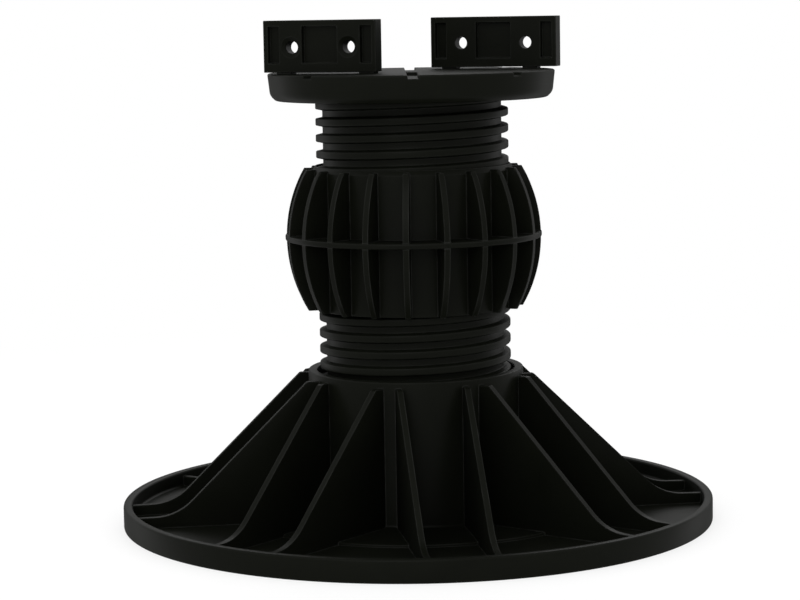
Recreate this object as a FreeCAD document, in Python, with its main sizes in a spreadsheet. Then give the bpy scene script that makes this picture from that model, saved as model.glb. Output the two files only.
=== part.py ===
import FreeCAD, Part
import os
import re

import Sketcher

Vector = FreeCAD.Vector

# Adjustable deck pedestal: a ribbed base with a threaded socket, a ribbed grip that screws into it,
# a screw tube that stands in the grip, and a swivelling head plate with two joist clips.
# Millimetres and degrees, +Z up, origin on the ground under the middle of the base.
# The joist lies along X between the two clips.

doc = FreeCAD.newDocument("deck_pedestal")
sheet = doc.addObject("Spreadsheet::Sheet", "Sizes")

drivingSizes = [
    # base
    ("base_radius", 100.0),
    ("floor_thickness", 2.4),
    ("plinth_radius", 61.0),
    ("plinth_step", 1.0),
    ("rim_height", 7.6),
    ("rim_wall", 3.0),
    ("socket_radius", 36.4),
    ("socket_height", 51.6),
    ("mouth_radius", 33.4),
    ("mouth_depth", 3.5),
    ("foot_rib_pairs", 8),
    ("foot_rib_half_spacing", 11.1),
    ("foot_rib_thickness", 2.0),
    ("foot_rib_top_drop", 2.0),
    ("foot_rib_ledge", 3.7),
    ("foot_rib_angle", 44.4),
    ("foot_rib_sweep", 20.0),
    ("foot_rib_toe", 6.0),
    ("base_turn", 25.6),
    # screw tubes: the grip's spigot and the head screw, both as wide as the crest of their thread
    ("screw_crest", 32.33),
    ("screw_wall", 4.8),
    ("screw_clearance", 0.3),
    # grip
    ("grip_rise", 20.8),
    ("grip_height", 48.0),
    ("grip_core_radius", 33.9),
    ("lip_drop", 1.7),
    ("lip_land", 0.2),
    ("grip_ribs", 20),
    ("grip_rib_thickness", 2.0),
    ("grip_rib_end", 36.6),
    ("grip_bulge", 42.9),
    ("ring_radius", 43.2),
    ("ring_thickness", 2.0),
    ("ring_height", 24.2),
    ("spigot_length", 46.0),
    ("grip_turn", 13.6),
    # head screw
    ("screw_exposed", 22.0),
    ("screw_depth", 22.4),
    # head plate
    ("plate_radius", 48.1),
    ("plate_foot_radius", 47.3),
    ("plate_height", 9.1),
    ("plate_wall", 3.6),
    ("skirt_wall", 3.0),
    ("plate_edge_bevel", 1.8),
    ("slot_count", 8),
    ("slot_width", 3.5),
    ("slot_depth", 1.2),
    ("slot_start", 13.0),
    ("slot_turn", 17.7),
    ("hub_wall", 2.2),
    ("hub_length", 8.0),
    ("swivel_clearance", 0.2),
    # joist clips
    ("joist_gap", 43.0),
    ("front_clip_length", 38.8),
    ("rear_clip_length", 44.0),
    ("clip_height", 17.0),
    ("clip_thickness", 6.3),
    ("clip_shift", 22.7),
    ("clip_lift", 0.6),
    ("clip_web", 2.0),
    ("clip_pocket_foot", 3.0),
    ("clip_pocket_height", 12.0),
    ("middle_pocket_length", 12.0),
    ("end_pocket_length", 3.8),
    ("end_pocket_margin", 1.6),
    ("front_hole_spacing", 19.6),
    ("rear_hole_spacing", 22.6),
    ("clip_hole_height", 8.2),
    ("clip_hole_radius", 2.05),
    ("countersink_radius", 3.5),
    ("countersink_depth", 0.9),
    ("peg_spacing", 28.4),
    ("peg_offset", 1.6),
    ("peg_width", 3.4),
    ("peg_shoulder_width", 5.2),
    ("peg_clearance", 0.1),
]

derivedSizes = [
    ("bore_radius", "=screw_crest + screw_clearance"),
    ("tube_bore", "=screw_crest - screw_wall"),
    ("plinth_top", "=floor_thickness + plinth_step"),
    ("socket_middle", "=(socket_radius + mouth_radius) / 2"),
    ("rim_middle", "=base_radius - rim_wall / 2"),
    ("foot_rib_top", "=socket_height - foot_rib_top_drop"),
    ("grip_level", "=socket_height + grip_rise"),
    ("grip_top_level", "=grip_level + grip_height"),
    ("plate_foot_level", "=grip_top_level + screw_exposed"),
    ("plate_top_level", "=plate_foot_level + plate_height"),
    ("screw_foot_level", "=grip_top_level - screw_depth"),
    ("screw_length", "=plate_top_level - plate_wall - swivel_clearance - screw_foot_level"),
    ("hub_radius", "=tube_bore - swivel_clearance"),
    ("clip_level", "=plate_top_level + clip_lift"),
    ("clip_plane", "=(joist_gap + clip_thickness) / 2"),
    ("clip_pocket_depth", "=(clip_thickness - clip_web) / 2"),
]

aliases = set()
for row, (alias, value) in enumerate(drivingSizes + derivedSizes, start=1):
    sheet.set(f"A{row}", alias.replace("_", " "))
    sheet.set(f"B{row}", str(value))
    sheet.setAlias(f"B{row}", alias)
    aliases.add(alias)
doc.recompute()


# An expression written with bare size names, tied to the sheet.
def tied(text):
    return re.sub(r"[a-z_]+", lambda word: "Sizes." + word[0] if word[0] in aliases else word[0], str(text))


def sizeOf(text):
    return float(sheet.evalExpression(tied(text)))


def bind(thing, **properties):
    for name, text in properties.items():
        thing.setExpression(name.replace("__", "."), tied(text))


def newBody(label, level="0", turn="0"):
    body = doc.addObject("PartDesign::Body", label)
    body.Label = label
    bind(body, Placement__Base__z=level)
    body.Placement.Rotation = FreeCAD.Rotation(Vector(0, 0, 1), sizeOf(turn))
    bind(body, Placement__Rotation__Angle=turn)
    return body


def originPart(body, role):
    return next(item for item in body.Origin.OriginFeatures if item.Role == role)


# A sketch on one of the body's own planes, moved along the plane's normal by `offset`
# and turned in its plane by `turn`.
def newSketch(body, name, plane, offset="0", turn="0"):
    sketch = body.newObject("Sketcher::SketchObject", name)
    sketch.AttachmentSupport = [(originPart(body, plane), "")]
    sketch.MapMode = "FlatFace"
    spin = FreeCAD.Rotation(Vector(0, 0, 1), sizeOf(turn))
    sketch.AttachmentOffset = FreeCAD.Placement(Vector(0, 0, sizeOf(offset)), spin)
    bind(sketch, AttachmentOffset__Base__z=offset, AttachmentOffset__Rotation__Angle=turn)
    return sketch


def fix(sketch, kind, geometry, point, text):
    number = sketch.addConstraint(Sketcher.Constraint(kind, -1, 1, geometry, point, sizeOf(text)))
    sketch.setExpression(f"Constraints[{number}]", tied(text))


# A closed outline through corners (x, y), each held by its own two sizes. A corner (x, y, radius)
# starts an arc of that radius to the next corner, bulging to the left of travel if it is positive.
def outline(sketch, corners):
    places = [Vector(sizeOf(corner[0]), sizeOf(corner[1]), 0) for corner in corners]
    first = sketch.GeometryCount
    for index, corner in enumerate(corners):
        start, end = places[index], places[(index + 1) % len(corners)]
        if len(corner) == 3:
            radius = sizeOf(corner[2])
            chord = end - start
            across = Vector(-chord.y, chord.x, 0).normalize()
            drop = (radius**2 - (chord.Length / 2) ** 2) ** 0.5
            side = 1 if radius > 0 else -1
            middle = (start + end) / 2 + across * side * (abs(radius) - drop)
            sketch.addGeometry(Part.Arc(start, middle, end))
        else:
            sketch.addGeometry(Part.LineSegment(start, end))
    # An arc runs counter-clockwise in the sketch, so its ends are matched by place.
    ends = []
    for index in range(len(corners)):
        start = sketch.getPoint(first + index, 1)
        ends.append((1, 2) if (start - places[index]).Length < 1e-6 else (2, 1))
    for index, corner in enumerate(corners):
        following = (index + 1) % len(corners)
        sketch.addConstraint(Sketcher.Constraint(
            "Coincident", first + index, ends[index][1], first + following, ends[following][0]))
    for index, corner in enumerate(corners):
        fix(sketch, "DistanceX", first + index, ends[index][0], corner[0])
        fix(sketch, "DistanceY", first + index, ends[index][0], corner[1])
        if len(corner) == 3:
            number = sketch.addConstraint(Sketcher.Constraint("Radius", first + index, abs(sizeOf(corner[2]))))
            sketch.setExpression(f"Constraints[{number}]", tied(f"abs({corner[2]})"))


def rectangle(sketch, left, right, low, high):
    outline(sketch, [(left, low), (right, low), (right, high), (left, high)])


def square(sketch, across, up, width):
    half = f"({width}) / 2"
    rectangle(sketch, f"{across} - {half}", f"{across} + {half}", f"{up} - {half}", f"{up} + {half}")


def circle(sketch, across, up, radius):
    place = Vector(sizeOf(across), sizeOf(up), 0)
    number = sketch.addGeometry(Part.Circle(place, Vector(0, 0, 1), sizeOf(radius)))
    fix(sketch, "DistanceX", number, 3, across)
    fix(sketch, "DistanceY", number, 3, up)
    held = sketch.addConstraint(Sketcher.Constraint("Radius", number, sizeOf(radius)))
    sketch.setExpression(f"Constraints[{held}]", tied(radius))


def revolve(body, name, corners):
    sketch = newSketch(body, name + "Section", "XZ_Plane")
    outline(sketch, corners)
    turned = body.newObject("PartDesign::Revolution", name)
    turned.Profile = sketch
    turned.ReferenceAxis = (sketch, ["V_Axis"])
    turned.Angle = 360
    return turned


def pad(body, name, sketch, length, midplane=False, reverse=False):
    raised = body.newObject("PartDesign::Pad", name)
    raised.Profile = sketch
    raised.Midplane = midplane
    raised.Reversed = reverse
    bind(raised, Length=length)
    return raised


# A pocket that has to take material away.
def pocket(body, name, sketch, depth, midplane=False, reverse=False):
    doc.recompute()
    before = body.Shape.Volume
    cut = body.newObject("PartDesign::Pocket", name)
    cut.Profile = sketch
    cut.Midplane = midplane
    cut.Reversed = reverse
    bind(cut, Length=depth)
    doc.recompute()
    if body.Shape.Volume > before - 1e-3:
        raise RuntimeError(f"{name} cuts nothing")
    return cut


def aroundAxis(body, name, features, count):
    ring = body.newObject("PartDesign::PolarPattern", name)
    ring.Originals = features
    ring.Axis = (originPart(body, "Z_Axis"), [""])
    ring.Angle = 360
    bind(ring, Occurrences=count)
    body.Tip = ring
    return ring


# Base: dished flange, threaded socket and pairs of parallel ribs that sweep down to the rim.
def makeBase():
    body = newBody("base", turn="base_turn")
    revolve(body, "Dish", [
        ("bore_radius", "0"),
        ("base_radius", "0"),
        ("base_radius", "rim_height"),
        ("base_radius - rim_wall", "rim_height"),
        ("base_radius - rim_wall", "floor_thickness"),
        ("plinth_radius", "floor_thickness"),
        ("plinth_radius", "plinth_top"),
        ("socket_radius", "plinth_top"),
        ("socket_radius", "socket_height"),
        ("mouth_radius", "socket_height"),
        ("mouth_radius", "socket_height - mouth_depth"),
        ("bore_radius", "socket_height - mouth_depth"),
    ])
    half = "foot_rib_half_spacing"
    inner = f"sqrt(socket_middle ^ 2 - {half} ^ 2)"
    outer = f"sqrt(rim_middle ^ 2 - {half} ^ 2)"
    crown = f"sqrt(socket_radius ^ 2 - {half} ^ 2) + foot_rib_ledge"
    toe = f"{crown} + (foot_rib_top - foot_rib_toe) / tan(foot_rib_angle * 1deg)"
    tangent = "foot_rib_sweep * tan(foot_rib_angle * 0.5deg)"
    ribs = []
    for name, side in (("RightRib", "-1"), ("LeftRib", "1")):
        sketch = newSketch(body, name + "Outline", "XZ_Plane", offset=f"{side} * {half}")
        outline(sketch, [
            (inner, "floor_thickness / 2"),
            (outer, "floor_thickness / 2"),
            (outer, "foot_rib_toe"),
            (f"{toe} + {tangent}", "foot_rib_toe", "foot_rib_sweep"),
            (f"{toe} - {tangent} * cos(foot_rib_angle * 1deg)",
             f"foot_rib_toe + {tangent} * sin(foot_rib_angle * 1deg)"),
            (crown, "foot_rib_top"),
            (inner, "foot_rib_top"),
        ])
        ribs.append(pad(body, name, sketch, "foot_rib_thickness", midplane=True))
    aroundAxis(body, "RibPairs", ribs, "foot_rib_pairs")
    return body


# Grip: a sleeve with a ring and curved finger ribs, and the spigot that screws into the base.
def makeGrip():
    body = newBody("grip", level="grip_level", turn="grip_turn")
    revolve(body, "Core", [
        ("tube_bore", "0 - spigot_length"),
        ("screw_crest", "0 - spigot_length"),
        ("screw_crest", "0"),
        ("grip_core_radius", "0"),
        ("grip_core_radius", "ring_height - ring_thickness / 2"),
        ("ring_radius", "ring_height - ring_thickness / 2"),
        ("ring_radius", "ring_height + ring_thickness / 2"),
        ("grip_core_radius", "ring_height + ring_thickness / 2"),
        ("grip_core_radius", "grip_height - lip_drop"),
        ("bore_radius + lip_land", "grip_height"),
        ("bore_radius", "grip_height"),
        ("bore_radius", "grip_height - screw_depth - screw_clearance"),
        ("tube_bore", "grip_height - screw_depth - screw_clearance"),
    ])
    bulge = "grip_bulge - grip_rib_end"
    ribTop = "grip_height - lip_drop / 2"
    sweep = f"((({ribTop}) / 2) ^ 2 + ({bulge}) ^ 2) / (2 * ({bulge}))"
    root = "(bore_radius + grip_core_radius) / 2"
    sketch = newSketch(body, "FingerRibOutline", "XZ_Plane")
    outline(sketch, [
        (root, "0"),
        ("grip_rib_end", "0", f"0 - {sweep}"),
        ("grip_rib_end", ribTop),
        (root, ribTop),
    ])
    rib = pad(body, "FingerRib", sketch, "grip_rib_thickness", midplane=True)
    aroundAxis(body, "FingerRibs", [rib], "grip_ribs")
    return body


# Head screw: a tube that stands in the grip and carries the head plate on its rim.
def makeHeadScrew():
    body = newBody("head_screw", level="screw_foot_level")
    revolve(body, "Tube", [
        ("tube_bore", "0"),
        ("screw_crest", "0"),
        ("screw_crest", "screw_length"),
        ("tube_bore", "screw_length"),
    ])
    return body


# Head plate: a shallow dish turned over the screw, with a hub inside the tube and radial slots on top.
def makeHeadPlate():
    body = newBody("head_plate", level="plate_top_level")
    ceiling = "0 - plate_wall"
    hubFoot = "0 - plate_wall - hub_length"
    revolve(body, "Dish", [
        ("0", ceiling),
        ("hub_radius - hub_wall", ceiling),
        ("hub_radius - hub_wall", hubFoot),
        ("hub_radius", hubFoot),
        ("hub_radius", ceiling),
        ("plate_foot_radius - skirt_wall", ceiling),
        ("plate_foot_radius - skirt_wall", "0 - plate_height"),
        ("plate_foot_radius - plate_edge_bevel", "0 - plate_height"),
        ("plate_foot_radius", "plate_edge_bevel - plate_height"),
        ("plate_radius", "0"),
        ("0", "0"),
    ])
    sketch = newSketch(body, "SlotOutline", "XY_Plane", turn="slot_turn")
    rectangle(sketch, "slot_start", "plate_radius + slot_width", "0 - slot_width / 2", "slot_width / 2")
    slot = pocket(body, "Slot", sketch, "slot_depth")
    aroundAxis(body, "Slots", [slot], "slot_count")
    sketch = newSketch(body, "PegHoleOutline", "XY_Plane")
    for side in ("-1", "1"):
        for end in ("-1", "1"):
            across = f"{side} * (clip_shift - peg_offset + {end} * peg_spacing / 2)"
            square(sketch, across, f"{side} * clip_plane", "peg_width + 2 * peg_clearance")
    holes = pocket(body, "PegHoles", sketch, "plate_wall * 2", midplane=True)
    body.Tip = holes
    return body


# Joist clip: a wall with pockets on both faces, two countersunk screw holes and two pegs below.
# The front clip is the shorter one.
def makeClip(label, side, turn, length, holeSpacing):
    body = newBody(label, level="clip_level", turn=turn)
    bind(body, Placement__Base__x=f"{side} * clip_shift", Placement__Base__y=f"{side} * clip_plane")
    sketch = newSketch(body, "WallOutline", "XZ_Plane")
    rectangle(sketch, f"0 - {length} / 2", f"{length} / 2", "0", "clip_height")
    pad(body, "Wall", sketch, "clip_thickness", midplane=True)
    for name, face, reverse in (("OuterPockets", "1", False), ("InnerPockets", "-1", True)):
        sketch = newSketch(body, name + "Outline", "XZ_Plane", offset=f"{face} * clip_thickness / 2")
        low = "clip_pocket_foot"
        high = "clip_pocket_foot + clip_pocket_height"
        far = f"{length} / 2 - end_pocket_margin"
        near = f"{far} - end_pocket_length"
        rectangle(sketch, "0 - middle_pocket_length / 2", "middle_pocket_length / 2", low, high)
        rectangle(sketch, f"0 - ({far})", f"0 - ({near})", low, high)
        rectangle(sketch, near, far, low, high)
        pocket(body, name, sketch, "clip_pocket_depth", reverse=reverse)
    sketch = newSketch(body, "ScrewHoleOutline", "XZ_Plane")
    for hand in ("-1", "1"):
        circle(sketch, f"{hand} * {holeSpacing} / 2", "clip_hole_height", "clip_hole_radius")
    pocket(body, "ScrewHoles", sketch, "clip_thickness * 2", midplane=True)
    for name, hand in (("LeftCountersink", "-1"), ("RightCountersink", "1")):
        sink = body.newObject("PartDesign::SubtractiveCone", name)
        sink.Placement.Rotation = FreeCAD.Rotation(Vector(1, 0, 0), -90)
        bind(sink, Radius1="countersink_radius", Radius2="clip_hole_radius", Height="countersink_depth",
             Placement__Base__x=f"{hand} * {holeSpacing} / 2",
             Placement__Base__y="0 - clip_thickness / 2", Placement__Base__z="clip_hole_height")
    shoulders = newSketch(body, "ShoulderOutline", "XY_Plane")
    pins = newSketch(body, "PegOutline", "XY_Plane")
    for hand in ("-1", "1"):
        across = f"peg_offset + {hand} * peg_spacing / 2"
        square(shoulders, across, "0", "peg_shoulder_width")
        square(pins, across, "0", "peg_width")
    pad(body, "Shoulders", shoulders, "clip_lift", reverse=True)
    pad(body, "Pegs", pins, "clip_lift + plate_wall - peg_clearance", reverse=True)
    return body


subParts = [
    makeBase(),
    makeGrip(),
    makeHeadScrew(),
    makeHeadPlate(),
    makeClip("clip_front", "-1", "0", "front_clip_length", "front_hole_spacing"),
    makeClip("clip_rear", "1", "180", "rear_clip_length", "rear_hole_spacing"),
]
doc.recompute()

for thing in doc.Objects:
    if "Invalid" in thing.State or "Error" in thing.State:
        raise RuntimeError(f"{thing.Label} failed: {thing.State}")
for subPart in subParts:
    shape = subPart.Shape
    if shape.isNull() or not shape.isValid() or len(shape.Solids) != 1:
        raise RuntimeError(f"{subPart.Label} isn't one valid solid")

os.makedirs("parts", exist_ok=True)
for subPart in subParts:
    subPart.Shape.exportStep(f"parts/{subPart.Label}.step")
    print(subPart.Label, round(subPart.Shape.Volume / 1000, 2), "cm3")
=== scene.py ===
import math

import bmesh
import bpy
from mathutils import Matrix, Vector


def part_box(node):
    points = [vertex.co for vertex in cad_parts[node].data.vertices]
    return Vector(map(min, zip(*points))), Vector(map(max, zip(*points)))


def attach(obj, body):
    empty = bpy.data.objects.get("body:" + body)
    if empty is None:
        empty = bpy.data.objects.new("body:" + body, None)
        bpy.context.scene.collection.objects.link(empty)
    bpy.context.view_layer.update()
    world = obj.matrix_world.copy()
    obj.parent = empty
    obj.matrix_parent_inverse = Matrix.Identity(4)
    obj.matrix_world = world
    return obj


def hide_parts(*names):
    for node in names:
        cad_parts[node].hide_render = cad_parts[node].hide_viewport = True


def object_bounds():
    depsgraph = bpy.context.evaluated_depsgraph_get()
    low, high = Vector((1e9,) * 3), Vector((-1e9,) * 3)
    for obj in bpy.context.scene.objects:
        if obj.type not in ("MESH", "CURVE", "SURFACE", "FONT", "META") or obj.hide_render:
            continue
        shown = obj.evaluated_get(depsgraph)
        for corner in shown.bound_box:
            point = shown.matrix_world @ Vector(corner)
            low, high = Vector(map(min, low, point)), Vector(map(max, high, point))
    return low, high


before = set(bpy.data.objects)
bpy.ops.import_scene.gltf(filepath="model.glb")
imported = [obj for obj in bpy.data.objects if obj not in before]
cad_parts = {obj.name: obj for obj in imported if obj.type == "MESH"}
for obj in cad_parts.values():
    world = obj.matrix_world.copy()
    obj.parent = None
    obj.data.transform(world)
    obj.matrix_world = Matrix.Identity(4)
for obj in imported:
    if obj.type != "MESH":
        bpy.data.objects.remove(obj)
cadLow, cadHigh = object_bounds()
print("frame loaded:", ", ".join(sorted(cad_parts)))

mm = 0.001  # the pieces' sizes are in millimetres, the scene is in metres
levels = {  # foot and top of each node
    node: [corner.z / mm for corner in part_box(node)]
    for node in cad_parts
}


# shape tools

pathForm = {
    "arcSteps": 4,
    "arcShare": 0.48,  # the most of a side that one arc takes
    "axisRadius": 1e-4,  # points nearer to the axis than this lie on it
}
softForm = {
    "smoothAngle": 32,  # degrees, as are all angles here
    "flatAngle": 0.3,
    "roundAngle": 40,  # sharper edges are rounded
    "creaseAngle": 25,  # edges between the two stay creased
    "weld": 0.01,
    "segments": 3,
    "profile": 0.5,  # a circular section
}


def roundedPath(corners, closed=True, steps=pathForm["arcSteps"]):
    # corners (x, y, radius): each one with a radius becomes an arc
    path = []
    count = len(corners)
    for index, (x, y, radius) in enumerate(corners):
        here = Vector((x, y))
        atEnd = not closed and index in (0, count - 1)
        if radius <= 0 or atEnd:
            path.append(here)
            continue
        back = Vector(corners[index - 1][:2]) - here
        ahead = Vector(corners[(index + 1) % count][:2]) - here
        half = back.angle(ahead) / 2
        longest = pathForm["arcShare"] * min(back.length, ahead.length)
        reach = min(radius / math.tan(half), longest)
        back.normalize()
        ahead.normalize()
        centre = here + (back + ahead).normalized() * (reach / math.cos(half))
        start = here + back * reach - centre
        sweep = start.angle_signed(here + ahead * reach - centre)
        for step in range(steps + 1):
            path.append(centre + Matrix.Rotation(-sweep * step / steps, 2) @ start)
    return path


def onCircle(radius, angle, height):
    # a point round Z, in metres
    return radius * mm * math.cos(angle), radius * mm * math.sin(angle), height * mm


def lathe(mesh, path, segments):
    # turns a closed path of (radius, height) round Z
    rings = []
    middle = {}
    for segment in range(segments):
        angle = 2 * math.pi * segment / segments
        ring = []
        for index, (radius, height) in enumerate(path):
            if radius < pathForm["axisRadius"]:
                if index not in middle:
                    middle[index] = mesh.verts.new((0, 0, height * mm))
                ring.append(middle[index])
                continue
            ring.append(mesh.verts.new(onCircle(radius, angle, height)))
        rings.append(ring)
    for segment in range(segments):
        near, far = rings[segment], rings[(segment + 1) % segments]
        for index in range(len(path)):
            following = (index + 1) % len(path)
            corners = [near[index], far[index], far[following], near[following]]
            corners = list(dict.fromkeys(corners))
            if len(corners) > 2:
                mesh.faces.new(corners)


def merge(mesh, extra):
    # puts one mesh under construction into another
    loose = bpy.data.meshes.new("loose")
    extra.to_mesh(loose)
    extra.free()
    mesh.from_mesh(loose)
    bpy.data.meshes.remove(loose)


def addSlab(mesh, path, thickness, edge, place):
    # an upright slab in the XZ plane, with rounded edges, put where `place` says
    slab = bmesh.new()
    sides = []
    for side in (-0.5, 0.5):
        sides.append([slab.verts.new((x * mm, side * thickness * mm, z * mm)) for x, z in path])
    slab.faces.new(sides[0])
    slab.faces.new(reversed(sides[1]))
    for index in range(len(path)):
        following = (index + 1) % len(path)
        slab.faces.new((sides[0][following], sides[0][index], sides[1][index], sides[1][following]))
    slab.faces.ensure_lookup_table()
    rims = list(slab.faces[0].edges) + list(slab.faces[1].edges)
    bmesh.ops.bevel(slab, geom=rims, offset=edge * mm, segments=softForm["segments"],
                    profile=softForm["profile"], affect="EDGES", clamp_overlap=True)
    bmesh.ops.recalc_face_normals(slab, faces=slab.faces)
    slab.transform(place)
    merge(mesh, slab)


def addBlock(mesh, low, high):
    # a box between two opposite corners
    size = [(b - a) * mm for a, b in zip(low, high)]
    middle = Vector([(a + b) / 2 for a, b in zip(low, high)]) * mm
    place = Matrix.Translation(middle) @ Matrix.Diagonal((*size, 1))
    bmesh.ops.create_cube(mesh, size=1, matrix=place)


def turnZ(degrees):
    return Matrix.Rotation(math.radians(degrees), 4, "Z")


def makePiece(name, mesh):
    # a smoothly shaded object, with creases where the surface turns sharply
    data = bpy.data.meshes.new(name)
    mesh.normal_update()
    mesh.to_mesh(data)
    mesh.free()
    data.shade_smooth()
    data.set_sharp_from_angle(angle=math.radians(softForm["smoothAngle"]))
    piece = bpy.data.objects.new(name, data)
    bpy.context.scene.collection.objects.link(piece)
    return piece


def carve(piece, cutter):
    # takes the cutter's solids out of the piece
    cut = piece.modifiers.new("cut", "BOOLEAN")
    cut.operation = "DIFFERENCE"
    cut.solver = "EXACT"
    cut.object = cutter
    shapes = bpy.context.evaluated_depsgraph_get()
    carved = bpy.data.meshes.new_from_object(piece.evaluated_get(shapes))
    piece.modifiers.clear()
    plain = piece.data
    piece.data = carved
    carved.name = piece.name
    bpy.data.meshes.remove(plain)
    bpy.data.objects.remove(cutter)


def joinFlats(piece):
    # welds slivers and makes each flat face one polygon, so that rounded edges run clean
    mesh = bmesh.new()
    mesh.from_mesh(piece.data)
    bmesh.ops.remove_doubles(mesh, verts=mesh.verts, dist=softForm["weld"] * mm)
    bmesh.ops.dissolve_limit(mesh, angle_limit=math.radians(softForm["flatAngle"]),
                             verts=mesh.verts, edges=mesh.edges)
    mesh.to_mesh(piece.data)
    mesh.free()


def softenEdges(piece, width, foot):
    # rounds the sharp edges above the foot, and leaves the others creased
    mesh = bmesh.new()
    mesh.from_mesh(piece.data)
    weight = mesh.edges.layers.float.new("bevel_weight_edge")
    for edge in mesh.edges:
        turn = math.degrees(edge.calc_face_angle(0))
        above = min(vert.co.z for vert in edge.verts) > foot * mm
        edge[weight] = turn > softForm["roundAngle"] and above
        edge.smooth = bool(edge[weight]) or turn < softForm["creaseAngle"]
    for face in mesh.faces:
        face.smooth = True
    mesh.to_mesh(piece.data)
    mesh.free()
    bevel = piece.modifiers.new("softEdges", "BEVEL")
    bevel.width = width * mm
    bevel.segments = softForm["segments"]
    bevel.limit_method = "WEIGHT"
    bevel.use_clamp_overlap = True
    bevel.harden_normals = True


def settle(piece, node, body, material):
    # gives the piece its plastic and lets it stand for a CAD node
    piece.data.materials.clear()
    piece.data.materials.append(material)
    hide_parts(node)
    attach(piece, body)


# plastic

def newGroup(name, inputs, outputs):
    # a shader node group whose sockets all take plain numbers
    group = bpy.data.node_groups.new(name, "ShaderNodeTree")
    for label in inputs:
        group.interface.new_socket(label, in_out="INPUT", socket_type="NodeSocketFloat")
    for label in outputs:
        group.interface.new_socket(label, in_out="OUTPUT", socket_type="NodeSocketFloat")
    return group, group.nodes.new("NodeGroupInput"), group.nodes.new("NodeGroupOutput")


grainForm = {
    "grainDetail": 3.0,
    "grainRoughness": 0.6,
    "flowDetail": 4.0,
    "flowDistortion": 0.6,
}


def makeGrainGroup(form):
    # fine spark-eroded mould grain, with broad flow marks under it
    group, given, put = newGroup("mouldGrain", ("Grain Scale", "Flow Scale"), ("Height", "Flow"))
    nodes, links = group.nodes, group.links
    place = nodes.new("ShaderNodeTexCoord")
    grain = nodes.new("ShaderNodeTexNoise")
    grain.inputs["Detail"].default_value = form["grainDetail"]
    grain.inputs["Roughness"].default_value = form["grainRoughness"]
    flow = nodes.new("ShaderNodeTexNoise")
    flow.inputs["Detail"].default_value = form["flowDetail"]
    flow.inputs["Distortion"].default_value = form["flowDistortion"]
    links.new(place.outputs["Object"], grain.inputs["Vector"])
    links.new(place.outputs["Object"], flow.inputs["Vector"])
    links.new(given.outputs["Grain Scale"], grain.inputs["Scale"])
    links.new(given.outputs["Flow Scale"], flow.inputs["Scale"])
    links.new(grain.outputs["Fac"], put.inputs["Height"])
    links.new(flow.outputs["Fac"], put.inputs["Flow"])
    return group


wearAndHighlightForm = {
    "samples": 4,
    "startCosine": 0.995,  # of the surface's turn, where the lightening of worn, highlighted edges begins
    "fullCosine": 0.85,  # and where it is full
    "patchDetail": 5.0,
    "patchRange": (0.35, 0.65),
    "leastWearAndHighlight": 0.35,  # share of the wear and painted highlight that the thinnest patches keep
}


# the edge mask lightens the colour for real wear and also paints a highlight on the edges
def makeWearAndHighlightGroup(form):
    # where handling has rubbed the edges, and where a highlight is painted along them, broken up by
    # a patchy noise
    group, given, put = newGroup("wornAndHighlightedEdges", ("Reach", "Patch Scale"), ("Wear And Highlight",))
    nodes, links = group.nodes, group.links
    shape = nodes.new("ShaderNodeNewGeometry")
    place = nodes.new("ShaderNodeTexCoord")
    rounded = nodes.new("ShaderNodeBevel")
    rounded.samples = form["samples"]
    turned = nodes.new("ShaderNodeVectorMath")
    turned.operation = "DOT_PRODUCT"
    ramp = nodes.new("ShaderNodeMapRange")
    ramp.inputs["From Min"].default_value = form["startCosine"]
    ramp.inputs["From Max"].default_value = form["fullCosine"]
    patch = nodes.new("ShaderNodeTexNoise")
    patch.inputs["Detail"].default_value = form["patchDetail"]
    spread = nodes.new("ShaderNodeMapRange")
    spread.inputs["From Min"].default_value = form["patchRange"][0]
    spread.inputs["From Max"].default_value = form["patchRange"][1]
    spread.inputs["To Min"].default_value = form["leastWearAndHighlight"]
    mix = nodes.new("ShaderNodeMath")
    mix.operation = "MULTIPLY"
    links.new(given.outputs["Reach"], rounded.inputs["Radius"])
    links.new(rounded.outputs["Normal"], turned.inputs[0])
    links.new(shape.outputs["Normal"], turned.inputs[1])
    links.new(turned.outputs["Value"], ramp.inputs["Value"])
    links.new(place.outputs["Object"], patch.inputs["Vector"])
    links.new(given.outputs["Patch Scale"], patch.inputs["Scale"])
    links.new(patch.outputs["Fac"], spread.inputs["Value"])
    links.new(ramp.outputs["Result"], mix.inputs[0])
    links.new(spread.outputs["Result"], mix.inputs[1])
    links.new(mix.outputs["Value"], put.inputs["Wear And Highlight"])
    return group


grainGroup = makeGrainGroup(grainForm)
wearAndHighlightGroup = makeWearAndHighlightGroup(wearAndHighlightForm)


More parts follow.
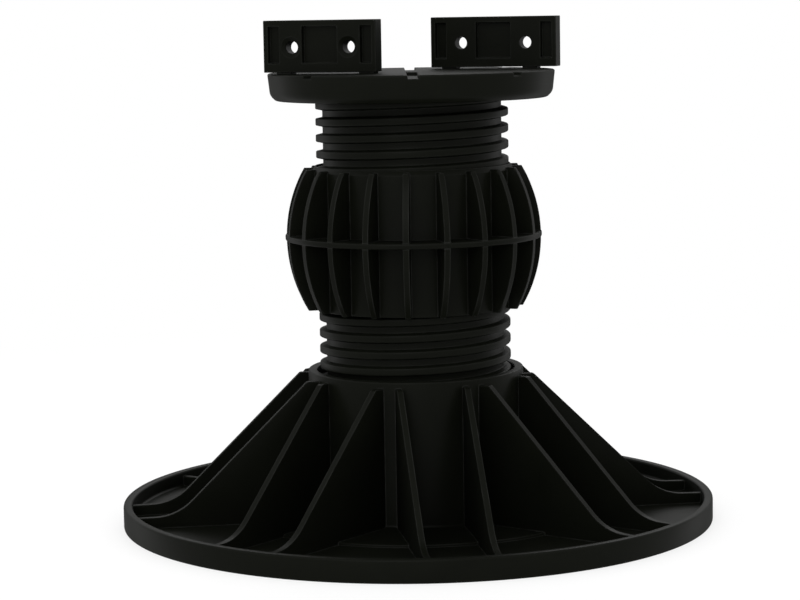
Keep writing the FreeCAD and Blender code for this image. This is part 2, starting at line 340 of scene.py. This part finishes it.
def makePlastic(name, look):
    material = bpy.data.materials.new(name)
    material.use_nodes = True
    nodes, links = material.node_tree.nodes, material.node_tree.links
    shader = nodes["Principled BSDF"]
    shader.inputs["Specular IOR Level"].default_value = look["specular"]
    facing = nodes.new("ShaderNodeLayerWeight")
    slant = nodes.new("ShaderNodeMapRange")
    slant.interpolation_type = "SMOOTHSTEP"
    slant.inputs["From Min"].default_value = look["dullFrom"]
    slant.inputs["From Max"].default_value = look["dullTo"]
    dull = nodes.new("ShaderNodeMix")
    dull.inputs["B"].default_value = look["edgeOnRoughness"]
    grain = nodes.new("ShaderNodeGroup")
    grain.node_tree = grainGroup
    grain.inputs["Grain Scale"].default_value = look["grainScale"]
    grain.inputs["Flow Scale"].default_value = look["flowScale"]
    edges = nodes.new("ShaderNodeGroup")
    edges.node_tree = wearAndHighlightGroup
    edges.inputs["Reach"].default_value = look["wearAndHighlightReach"] * mm
    edges.inputs["Patch Scale"].default_value = look["patchScale"]
    tone = nodes.new("ShaderNodeMix")
    tone.data_type = "RGBA"
    tone.inputs["A"].default_value = (*look["dark"], 1)
    tone.inputs["B"].default_value = (*look["light"], 1)
    # lightens the edges: partly handling wear, partly a painted highlight
    rubbedAndHighlight = nodes.new("ShaderNodeMix")
    rubbedAndHighlight.data_type = "RGBA"
    rubbedAndHighlight.inputs["B"].default_value = (*look["rubbedAndHighlight"], 1)
    rough = nodes.new("ShaderNodeMapRange")
    rough.inputs["To Min"].default_value = look["roughness"][0]
    rough.inputs["To Max"].default_value = look["roughness"][1]
    bump = nodes.new("ShaderNodeBump")
    bump.inputs["Strength"].default_value = look["bump"]
    bump.inputs["Distance"].default_value = look["bumpDepth"] * mm
    links.new(grain.outputs["Flow"], tone.inputs["Factor"])
    links.new(tone.outputs["Result"], rubbedAndHighlight.inputs["A"])
    links.new(edges.outputs["Wear And Highlight"], rubbedAndHighlight.inputs["Factor"])
    links.new(rubbedAndHighlight.outputs["Result"], shader.inputs["Base Color"])
    links.new(grain.outputs["Flow"], rough.inputs["Value"])
    links.new(rough.outputs["Result"], dull.inputs["A"])
    links.new(facing.outputs["Facing"], slant.inputs["Value"])
    links.new(slant.outputs["Result"], dull.inputs["Factor"])
    links.new(dull.outputs["Result"], shader.inputs["Roughness"])
    links.new(grain.outputs["Height"], bump.inputs["Height"])
    links.new(bump.outputs["Normal"], shader.inputs["Normal"])
    return material


plasticLook = {
    "dark": (0.0026, 0.0029, 0.0019),
    "light": (0.005, 0.0056, 0.0038),
    # lighter edge colour: partly handling wear, partly a painted highlight on the edges
    "rubbedAndHighlight": (0.0195, 0.0203, 0.0185),
    "specular": 0.035,
    "roughness": (0.26, 0.42),
    "edgeOnRoughness": 0.67,  # the grain hides its own sheen where it is seen edge-on
    "dullFrom": 0.5,
    "dullTo": 0.95,
    "grainScale": 2600.0,
    "flowScale": 38.0,
    "wearAndHighlightReach": 0.6,
    "patchScale": 160.0,
    "bump": 0.25,
    "bumpDepth": 0.05,
}
clipLook = {**plasticLook, "roughness": (0.22, 0.36), "flowScale": 60.0}
blackPlastic = makePlastic("blackPlastic", plasticLook)
clipPlastic = makePlastic("clipPlastic", clipLook)
print("plastic made")


# screw thread, shared by the spigot under the grip and by the head screw

threadForm = {
    "pitch": 5.44,
    "crest": 32.33,
    "root": 30.0,
    "crestWidth": 2.3,
    "rootWidth": 3.3,
    "crestEdge": 0.45,
    "rootEdge": 0.3,
    "bore": 27.53,
    "room": 0.3,  # between the crest and the bores round it
    "arcSteps": 3,
    "stepsPerTurn": 120,
    "spareTurns": 1.5,  # made beyond both ends, then cut off
    "onCut": 1e-4,  # points this near to a cut lie on it
}


def addThread(mesh, form, low, high, ridgeHeight):
    # a tube with one right-hand ridge; ridgeHeight is where the ridge crosses the +X side
    pitch = form["pitch"]
    steps = form["stepsPerTurn"]
    section = roundedPath([
        (-pitch / 2, form["root"], 0),
        (-form["rootWidth"] / 2, form["root"], form["rootEdge"]),
        (-form["crestWidth"] / 2, form["crest"], form["crestEdge"]),
        (form["crestWidth"] / 2, form["crest"], form["crestEdge"]),
        (form["rootWidth"] / 2, form["root"], form["rootEdge"]),
        (pitch / 2, form["root"], 0),
    ], closed=False, steps=form["arcSteps"])[:-1]
    first = math.floor((low - ridgeHeight) / pitch - form["spareTurns"]) * steps
    last = math.ceil((high - ridgeHeight) / pitch + form["spareTurns"]) * steps
    tube = bmesh.new()
    columns = []
    for step in range(first, last + 1):
        angle = 2 * math.pi * step / steps
        level = ridgeHeight + pitch * step / steps
        columns.append([
            tube.verts.new(onCircle(radius, angle, level + rise))
            for rise, radius in section])
    for index in range(len(columns) - 1):
        here, ahead = columns[index], columns[index + 1]
        for point in range(len(section) - 1):
            tube.faces.new((here[point], ahead[point], ahead[point + 1], here[point + 1]))
        if index + 1 + steps < len(columns):
            above, aboveAhead = columns[index + steps], columns[index + 1 + steps]
            tube.faces.new((here[-1], ahead[-1], aboveAhead[0], above[0]))
    rims = []  # round the bore, at both ends
    for level, way in ((low, -1), (high, 1)):
        cut = bmesh.ops.bisect_plane(
            tube, geom=tube.verts[:] + tube.edges[:] + tube.faces[:], dist=form["onCut"] * mm,
            plane_co=(0, 0, level * mm), plane_no=(0, 0, way), clear_outer=True)
        edges = [item for item in cut["geom_cut"] if isinstance(item, bmesh.types.BMEdge)]
        inner = {}
        for edge in edges:
            for vert in edge.verts:
                if vert not in inner:
                    flat = Vector((vert.co.x, vert.co.y, 0)).normalized() * form["bore"] * mm
                    inner[vert] = tube.verts.new((flat.x, flat.y, level * mm))
        for edge in edges:
            start, end = edge.verts
            tube.faces.new((start, end, inner[end], inner[start]))
            rims.append(tube.edges.get((inner[start], inner[end])))
    bmesh.ops.bridge_loops(tube, edges=rims)
    bmesh.ops.recalc_face_normals(tube, faces=tube.faces)
    merge(mesh, tube)


# base

baseForm = {
    "radius": 100.0,
    "floor": 2.4,
    "plinthRadius": 61.0,
    "plinthTop": 3.4,
    "rimHeight": 7.6,
    "rimWall": 3.0,
    "socketRadius": 36.4,
    "socketHeight": 51.6,
    "mouthRadius": 33.4,
    "mouthDepth": 3.5,
    "ribPairs": 8,
    "ribHalfSpacing": 11.1,
    "ribThickness": 2.0,
    "ribTop": 49.6,
    "ribLedge": 3.7,
    "ribAngle": 44.4,  # degrees below the level
    "ribSweep": 20.0,  # radius of the arc into the toe
    "ribToe": 6.0,
    "ribEdge": 0.4,
    "ribArcSteps": 8,
    "turn": 25.6,  # degrees
    "edge": 0.5,
    "rimEdge": 0.8,
    "fineEdge": 0.25,
    "fillet": 1.0,
    "crownRound": 1.5,
    "segments": 192,
}


def makeBase(form):
    mesh = bmesh.new()
    bore = threadForm["crest"] + threadForm["room"]
    edge = form["edge"]
    lathe(mesh, roundedPath([
        (bore, 0, edge),
        (form["radius"], 0, edge),
        (form["radius"], form["rimHeight"], form["rimEdge"]),
        (form["radius"] - form["rimWall"], form["rimHeight"], form["rimEdge"]),
        (form["radius"] - form["rimWall"], form["floor"], form["fillet"]),
        (form["plinthRadius"], form["floor"], form["fineEdge"]),
        (form["plinthRadius"], form["plinthTop"], edge),
        (form["socketRadius"], form["plinthTop"], form["fillet"]),
        (form["socketRadius"], form["socketHeight"], edge),
        (form["mouthRadius"], form["socketHeight"], edge),
        (form["mouthRadius"], form["socketHeight"] - form["mouthDepth"], form["fineEdge"]),
        (bore, form["socketHeight"] - form["mouthDepth"], form["fineEdge"]),
    ]), form["segments"])
    half = form["ribHalfSpacing"]
    slope = math.radians(form["ribAngle"])
    wallMiddle = (form["socketRadius"] + form["mouthRadius"]) / 2
    inner = math.sqrt(wallMiddle ** 2 - half ** 2)
    outer = math.sqrt((form["radius"] - form["rimWall"] / 2) ** 2 - half ** 2)
    crown = math.sqrt(form["socketRadius"] ** 2 - half ** 2) + form["ribLedge"]
    toe = crown + (form["ribTop"] - form["ribToe"]) / math.tan(slope)
    rib = roundedPath([
        (inner, form["floor"] / 2, 0),
        (outer, form["floor"] / 2, 0),
        (outer, form["ribToe"], 0),
        (toe, form["ribToe"], form["ribSweep"]),
        (crown, form["ribTop"], form["crownRound"]),
        (inner, form["ribTop"], 0),
    ], steps=form["ribArcSteps"])
    for pair in range(form["ribPairs"]):
        turn = turnZ(form["turn"] + 360 * pair / form["ribPairs"])
        for side in (-half, half):
            place = turn @ Matrix.Translation((0, side * mm, 0))
            addSlab(mesh, rib, form["ribThickness"], form["ribEdge"], place)
    return makePiece("baseMoulding", mesh)


baseMoulding = makeBase(baseForm)
settle(baseMoulding, "base", "base", blackPlastic)
print("base made")


# grip

gripForm = {
    "height": 48.0,
    "core": 33.9,
    "lipDrop": 1.7,
    "lipLand": 0.2,
    "boreDepth": 22.7,
    "ribs": 20,
    "ribThickness": 2.0,
    "ribEnd": 36.6,
    "ribSteps": 24,
    "bulge": 42.9,
    "ringRadius": 43.2,
    "ringThickness": 2.0,
    "ringHeight": 24.2,
    "ridgeHeight": 55.6,
    "turn": 13.6,  # degrees
    "edge": 0.4,
    "ringEdge": 0.6,
    "lipEdge": 0.2,
    "segments": 160,
}


def makeGrip(form):
    mesh = bmesh.new()
    spigotFoot, top = levels["grip"]
    foot = top - form["height"]
    bore = threadForm["crest"] + threadForm["room"]
    ring = foot + form["ringHeight"]
    halfRing = form["ringThickness"] / 2
    edge = form["edge"]
    lathe(mesh, roundedPath([
        (threadForm["bore"], foot, 0),
        (form["core"], foot, edge),
        (form["core"], ring - halfRing, edge),
        (form["ringRadius"], ring - halfRing, form["ringEdge"]),
        (form["ringRadius"], ring + halfRing, form["ringEdge"]),
        (form["core"], ring + halfRing, edge),
        (form["core"], top - form["lipDrop"], edge),
        (bore + form["lipLand"], top, form["lipEdge"]),
        (bore, top, 0),
        (bore, top - form["boreDepth"], edge),
        (threadForm["bore"], top - form["boreDepth"], 0),
    ]), form["segments"])
    middle = (form["core"] + bore) / 2
    bulge = form["bulge"] - form["ribEnd"]
    half = (form["height"] - form["lipDrop"] / 2) / 2
    radius = (half ** 2 + bulge ** 2) / (2 * bulge)
    spread = math.asin(half / radius)
    rib = [(middle, foot)]
    for step in range(form["ribSteps"] + 1):
        angle = spread * (2 * step / form["ribSteps"] - 1)
        out = form["bulge"] - radius * (1 - math.cos(angle))
        rib.append((out, foot + half + radius * math.sin(angle)))
    rib.append((middle, top - form["lipDrop"] / 2))
    for index in range(form["ribs"]):
        turn = turnZ(form["turn"] + 360 * index / form["ribs"])
        addSlab(mesh, rib, form["ribThickness"], edge, turn)
    addThread(mesh, threadForm, spigotFoot, foot + edge, form["ridgeHeight"])
    return makePiece("gripMoulding", mesh)


gripMoulding = makeGrip(gripForm)
settle(gripMoulding, "grip", "column", blackPlastic)
print("grip made")


# head screw

headScrewForm = {
    "ridgeHeight": 121.2,
}


def makeHeadScrew(form):
    mesh = bmesh.new()
    addThread(mesh, threadForm, *levels["head_screw"], form["ridgeHeight"])
    return makePiece("headScrewTube", mesh)


headScrewTube = makeHeadScrew(headScrewForm)
settle(headScrewTube, "head_screw", "column", blackPlastic)
print("head screw made")


# joist clips

clipForm = {
    "height": 17.0,
    "thickness": 6.3,
    "shift": 22.7,
    "plane": 24.65,
    "lift": 0.6,
    "web": 2.0,
    "pocketFoot": 3.0,
    "pocketHeight": 12.0,
    "middlePocket": 12.0,
    "endPocket": 3.8,
    "endMargin": 1.6,
    "holeHeight": 8.2,
    "holeRadius": 2.05,
    "sinkRadius": 3.5,
    "sinkDepth": 0.9,
    "pegSpacing": 28.4,
    "pegOffset": 1.6,
    "pegWidth": 3.4,
    "pegShoulder": 5.2,
    "pegLength": 4.1,
    "pegRoot": 0.3,  # how far the pegs reach up into the wall
    "holeSegments": 40,
    "edge": 0.25,
}
frontForm = {**clipForm, "length": 38.8, "holeSpacing": 19.6}
rearForm = {**clipForm, "length": 44.0, "holeSpacing": 22.6}


def carvePockets(clip, form):
    # the same pockets on both faces, with a thin web left between them
    cuts = bmesh.new()
    low, high = form["pocketFoot"], form["pocketFoot"] + form["pocketHeight"]
    end = form["length"] / 2 - form["endMargin"] - form["endPocket"] / 2
    pockets = ((0, form["middlePocket"]), (-end, form["endPocket"]), (end, form["endPocket"]))
    for centre, width in pockets:
        for face in (-1, 1):
            near, far = sorted((face * form["web"] / 2, face * form["thickness"]))
            addBlock(cuts, (centre - width / 2, near, low), (centre + width / 2, far, high))
    carve(clip, makePiece("pocketCutter", cuts))


def carveHoles(clip, form):
    cuts = bmesh.new()
    face = form["thickness"] / 2
    lying = Matrix.Rotation(math.radians(90), 4, "X")  # the wide end faces -Y, the outer side
    flare = 2 * form["sinkRadius"] - form["holeRadius"]  # the cone runs on beyond the face
    for hand in (-1, 1):
        hole = bmesh.new()
        lathe(hole, [
            (0, -form["thickness"]),
            (form["holeRadius"], -form["thickness"]),
            (form["holeRadius"], face - form["sinkDepth"]),
            (flare, face + form["sinkDepth"]),
            (0, face + form["sinkDepth"]),
        ], form["holeSegments"])
        bmesh.ops.recalc_face_normals(hole, faces=hole.faces)
        across = hand * form["holeSpacing"] / 2
        hole.transform(Matrix.Translation((across * mm, 0, form["holeHeight"] * mm)) @ lying)
        merge(cuts, hole)
    carve(clip, makePiece("holeCutter", cuts))


def addPegs(clip, form):
    # each peg has a wider shoulder, on which the clip stands
    mesh = bmesh.new()
    mesh.from_mesh(clip.data)
    blocks = ((form["pegShoulder"], form["lift"]), (form["pegWidth"], form["pegLength"]))
    for hand in (-1, 1):
        across = form["pegOffset"] + hand * form["pegSpacing"] / 2
        for width, depth in blocks:
            addBlock(mesh, (across - width / 2, -width / 2, -depth),
                     (across + width / 2, width / 2, form["pegRoot"]))
    mesh.to_mesh(clip.data)
    mesh.free()


def makeClip(name, form, side):
    mesh = bmesh.new()
    length, thick = form["length"] / 2, form["thickness"] / 2
    addBlock(mesh, (-length, -thick, 0), (length, thick, form["height"]))
    clip = makePiece(name, mesh)
    carvePockets(clip, form)
    carveHoles(clip, form)
    joinFlats(clip)
    addPegs(clip, form)
    level = levels["clip_front"][1] - form["height"]
    place = Matrix.Translation((side * form["shift"] * mm, side * form["plane"] * mm, level * mm))
    clip.data.transform(place @ turnZ(180 if side > 0 else 0))
    softenEdges(clip, form["edge"], level - form["lift"])
    return clip


frontClip = makeClip("frontClip", frontForm, -1)
rearClip = makeClip("rearClip", rearForm, 1)
settle(frontClip, "clip_front", "head", clipPlastic)
settle(rearClip, "clip_rear", "head", clipPlastic)
print("clips made")


# head plate

plateForm = {
    "radius": 48.1,
    "footRadius": 47.3,
    "height": 9.1,
    "wall": 3.6,
    "skirt": 3.0,
    "topEdge": 0.6,
    "footBevel": 1.8,
    "footRound": 3.6,
    "innerEdge": 0.5,
    "fineEdge": 0.25,
    "fillet": 1.0,
    "hubRoom": 0.2,  # between the hub and the head screw's bore
    "hubWall": 2.2,
    "hubLength": 8.0,
    "slots": 8,
    "slotWidth": 3.5,
    "slotDepth": 1.2,
    "slotStart": 13.0,
    "slotTurn": 17.7,  # degrees
    "pegRoom": 0.1,  # on each side of a peg
    "edge": 0.3,
    "arcSteps": 6,
    "segments": 192,
}


def carveSlots(plate, form, top):
    cuts = bmesh.new()
    half = form["slotWidth"] / 2
    for index in range(form["slots"]):
        slot = bmesh.new()
        addBlock(slot, (form["slotStart"], -half, top - form["slotDepth"]),
                 (form["radius"] + half, half, top + half))
        slot.transform(turnZ(form["slotTurn"] + 360 * index / form["slots"]))
        merge(cuts, slot)
    carve(plate, makePiece("slotCutter", cuts))


def carvePegHoles(plate, form, clip, low, high):
    # open below; above them the clips' shoulders cover the plate
    cuts = bmesh.new()
    half = clip["pegWidth"] / 2 + form["pegRoom"]
    for side in (-1, 1):
        for hand in (-1, 1):
            x = side * (clip["shift"] - clip["pegOffset"] + hand * clip["pegSpacing"] / 2)
            y = side * clip["plane"]
            addBlock(cuts, (x - half, y - half, low), (x + half, y + half, high))
    carve(plate, makePiece("pegHoleCutter", cuts))


def makePlate(form, clip):
    mesh = bmesh.new()
    top = levels["head_plate"][1]
    soft = form["innerEdge"]
    bevel = form["footBevel"]
    ceiling = top - form["wall"]
    foot = top - form["height"]
    hub = threadForm["bore"] - form["hubRoom"]
    hubFoot = ceiling - form["hubLength"]
    lathe(mesh, roundedPath([
        (0, ceiling, 0),
        (hub - form["hubWall"], ceiling, soft),
        (hub - form["hubWall"], hubFoot, soft),
        (hub, hubFoot, soft),
        (hub, ceiling, form["fineEdge"]),
        (form["footRadius"] - form["skirt"], ceiling, form["fillet"]),
        (form["footRadius"] - form["skirt"], foot, form["fineEdge"]),
        (form["footRadius"] - bevel, foot, bevel),
        (form["footRadius"], foot + bevel, form["footRound"]),
        (form["radius"], top, form["topEdge"]),
        (0, top, 0),
    ], steps=form["arcSteps"]), form["segments"])
    bmesh.ops.recalc_face_normals(mesh, faces=mesh.faces)
    plate = makePiece("headPlate", mesh)
    carveSlots(plate, form, top)
    holeTop = top - form["slotDepth"] - soft
    carvePegHoles(plate, form, clip, ceiling - soft, holeTop)
    joinFlats(plate)
    softenEdges(plate, form["edge"], holeTop)
    return plate


headPlate = makePlate(plateForm, clipForm)
settle(headPlate, "head_plate", "head", blackPlastic)
print("head plate made")


# stage, light and camera, in metres

stageForm = {
    "floorSize": 60.0,
    "floorColor": (0.9, 0.9, 0.9),
    "floorRoughness": 0.9,
    "floorWhite": 0.7,  # share of white close to the part
    "shadowReach": (0.16, 0.5),  # from the axis, where the floor goes over to white alone
    "worldColor": (1.0, 1.0, 1.0),
    "worldLight": 1.0,
}


def makeFloor(form):
    # mostly white to the camera and in reflections, a plain pale floor to all other rays
    bpy.ops.mesh.primitive_plane_add(size=form["floorSize"])
    floor = bpy.context.object
    floor.name = "studioFloor"
    material = bpy.data.materials.new("paleFloor")
    material.use_nodes = True
    nodes, links = material.node_tree.nodes, material.node_tree.links
    shader = nodes["Principled BSDF"]
    shader.inputs["Base Color"].default_value = (*form["floorColor"], 1)
    shader.inputs["Roughness"].default_value = form["floorRoughness"]
    glow = nodes.new("ShaderNodeEmission")
    path = nodes.new("ShaderNodeLightPath")
    seen = nodes.new("ShaderNodeMath")
    seen.operation = "MAXIMUM"
    share = nodes.new("ShaderNodeMath")
    share.operation = "MULTIPLY"
    place = nodes.new("ShaderNodeNewGeometry")
    reach = nodes.new("ShaderNodeVectorMath")
    reach.operation = "LENGTH"
    fade = nodes.new("ShaderNodeMapRange")
    fade.interpolation_type = "SMOOTHSTEP"
    fade.inputs["From Min"].default_value = form["shadowReach"][0]
    fade.inputs["From Max"].default_value = form["shadowReach"][1]
    fade.inputs["To Min"].default_value = form["floorWhite"]
    mix = nodes.new("ShaderNodeMixShader")
    links.new(place.outputs["Position"], reach.inputs[0])
    links.new(reach.outputs["Value"], fade.inputs["Value"])
    links.new(fade.outputs["Result"], share.inputs[1])
    links.new(path.outputs["Is Camera Ray"], seen.inputs[0])
    links.new(path.outputs["Is Glossy Ray"], seen.inputs[1])
    links.new(seen.outputs[0], share.inputs[0])
    links.new(share.outputs[0], mix.inputs["Fac"])
    links.new(shader.outputs[0], mix.inputs[1])
    links.new(glow.outputs[0], mix.inputs[2])
    links.new(mix.outputs[0], nodes["Material Output"].inputs["Surface"])
    floor.data.materials.append(material)


def makeWorld(form):
    world = bpy.data.worlds.new("whiteStudio")
    world.use_nodes = True
    background = world.node_tree.nodes["Background"]
    background.inputs["Color"].default_value = (*form["worldColor"], 1)
    background.inputs["Strength"].default_value = form["worldLight"]
    bpy.context.scene.world = world


lamps = [
    # name, place, size, watts
    ("frontSoftbox", (0.1, -1.3, 0.75), 0.9, 6.0),
    ("leftSoftbox", (-1.0, -0.8, 0.8), 0.8, 1.5),
    ("rightSoftbox", (1.2, -0.5, 0.8), 0.8, 1.0),
    ("backSoftbox", (-0.3, 1.3, 0.9), 0.9, 5.0),
]


def makeLamps(lamps):
    # soft square lamps, all aimed at the middle of the part
    target = Vector((0, 0, (cadLow.z + cadHigh.z) / 2))
    for name, place, size, watts in lamps:
        light = bpy.data.lights.new(name, "AREA")
        light.size = size
        light.energy = watts
        lamp = bpy.data.objects.new(name, light)
        lamp.location = place
        lamp.rotation_mode = "QUATERNION"
        lamp.rotation_quaternion = (target - lamp.location).to_track_quat("-Z", "Y")
        bpy.context.scene.collection.objects.link(lamp)


cameraForm = {
    "azimuth": 17.0,  # degrees round from -Y
    "distance": 0.8216,  # from the screw's axis, along the ground
    "height": 0.1733,
    "down": 6.865,  # degrees, as are yaw and roll
    "yaw": -0.347,
    "roll": -0.976,
    "focalPixels": 2445.0,
    "imageWidth": 800.0,
    "sensor": 36.0,  # millimetres
    "reach": 100.0,
}


def makeCamera(form):
    data = bpy.data.cameras.new("photoCamera")
    data.sensor_width = form["sensor"]
    data.lens = form["focalPixels"] / form["imageWidth"] * form["sensor"]
    data.clip_end = form["reach"]
    camera = bpy.data.objects.new("photoCamera", data)
    down, yaw, roll = (math.radians(form[key]) for key in ("down", "yaw", "roll"))
    ahead = Vector((math.sin(yaw) * math.cos(down), math.cos(yaw) * math.cos(down), -math.sin(down)))
    right = Vector((math.cos(yaw), -math.sin(yaw), 0))
    up = right.cross(ahead)
    rightRolled = right * math.cos(roll) + up * math.sin(roll)
    upRolled = up * math.cos(roll) - right * math.sin(roll)
    pose = Matrix((rightRolled, upRolled, -ahead)).transposed().to_4x4()
    pose.translation = Vector((0, -form["distance"], form["height"]))
    camera.matrix_world = turnZ(form["azimuth"]) @ pose
    bpy.context.scene.collection.objects.link(camera)
    bpy.context.scene.camera = camera


makeFloor(stageForm)
makeWorld(stageForm)
makeLamps(lamps)
makeCamera(cameraForm)
bpy.context.scene.view_settings.view_transform = "Standard"
print("stage, light and camera set")
